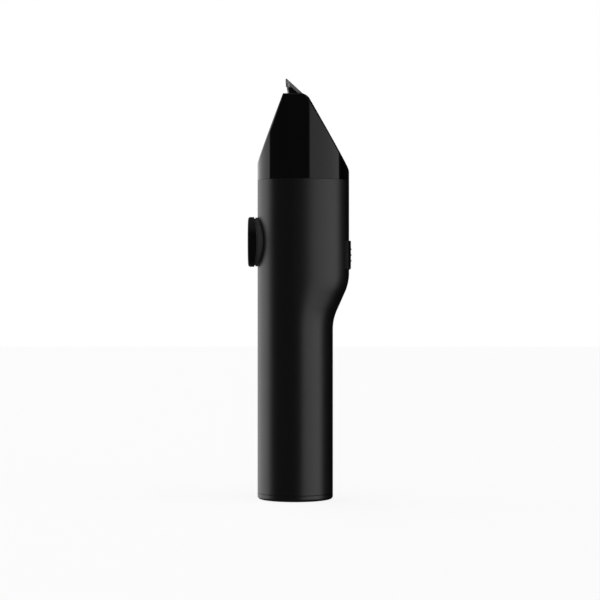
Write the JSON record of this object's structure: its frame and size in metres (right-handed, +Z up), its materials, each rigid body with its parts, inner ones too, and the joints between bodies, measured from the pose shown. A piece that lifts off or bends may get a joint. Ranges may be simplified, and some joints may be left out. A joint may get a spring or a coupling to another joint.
{
  "type": "cordless hair clipper",
  "caption": "Cordless hair clipper: oval handle widening to a gloss tapered head with toothed blades, round power button in front and ribbed lock slider behind.",
  "frame": {"origin": "centre of the charging port's mouth, in the plane of the flat base that the clipper stands on", "axes": "+Z up the body to the blades, -Y to the front with the power button, +X across the body"},
  "size_m": [0.038, 0.0426, 0.172],
  "materials": {
    "body_black": "fine matte moulded black ABS with a soft sheen",
    "head_gloss": "high gloss black ABS",
    "seal_rubber": "black silicone",
    "blade_steel": "ground stainless blade steel",
    "inner_black": "black engineering plastic",
    "screw_steel": "zinc plated screw",
    "spring_steel": "stainless leaf spring",
    "button_black": "satin black plastic",
    "collar_grey": "smoke grey light guide",
    "led_lens": "clear lamp resin",
    "chassis_grey": "dark grey ABS",
    "board_green": "green solder mask",
    "cell_wrap": "blue shrink sleeve",
    "nickel": "nickel",
    "motor_steel": "drawn and plated steel can",
    "shaft_steel": "ground steel",
    "cam_white": "white acetal"
  },
  "bodies": {
    "housing": {"body_sleeve": "body_black", "base_cap": "body_black", "button_collar": "collar_grey", "ring_leds": "led_lens", "power_switch": "inner_black", "lock_switch": "inner_black", "inner_chassis": "chassis_grey", "main_board": "board_green", "board_screws": "screw_steel", "control_chips": "inner_black", "battery_cell": "cell_wrap", "battery_tabs": "nickel", "charge_socket": "nickel", "charge_tongue": "inner_black", "charge_board": "board_green", "motor_can": "motor_steel", "motor_end_cap": "inner_black", "motor_screws": "screw_steel"},
    "head": {"head_shell": "head_gloss", "head_seal": "seal_rubber", "fixed_blade": "blade_steel", "cutter_base": "inner_black", "blade_screws": "screw_steel", "blade_spring": "spring_steel"},
    "cutter": {"moving_blade": "blade_steel", "blade_carrier": "inner_black"},
    "rotor": {"motor_shaft": "shaft_steel", "eccentric_cam": "cam_white"},
    "power_button": {"power_button_cap": "button_black", "switch_plunger": "inner_black"},
    "slider": {"lock_slider": "button_black", "slider_plate": "inner_black", "slider_screw": "screw_steel", "lock_lever": "inner_black"}
  },
  "joints": [
    {"name": "head_pull_off", "type": "slide", "parent": "housing", "child": "head", "axis": [0, 0, 1], "range_m": [0, 0.012]},
    {"name": "blade_reciprocate", "type": "slide", "parent": "head", "child": "cutter", "axis": [1, 0, 0], "range_m": [-0.0012, 0.0012]},
    {"name": "motor_spin", "type": "hinge", "parent": "housing", "child": "rotor", "pos_m": [0, 0.0015, 0.132], "axis": [0, 0, 1], "continuous": true},
    {"name": "power_button_press", "type": "slide", "parent": "housing", "child": "power_button", "axis": [0, 1, 0], "range_m": [0, 0.0005], "stiffness_N_per_m": 2000},
    {"name": "lock_slider_move", "type": "slide", "parent": "housing", "child": "slider", "axis": [0, 0, 1], "range_m": [0, 0.004]}
  ]
}
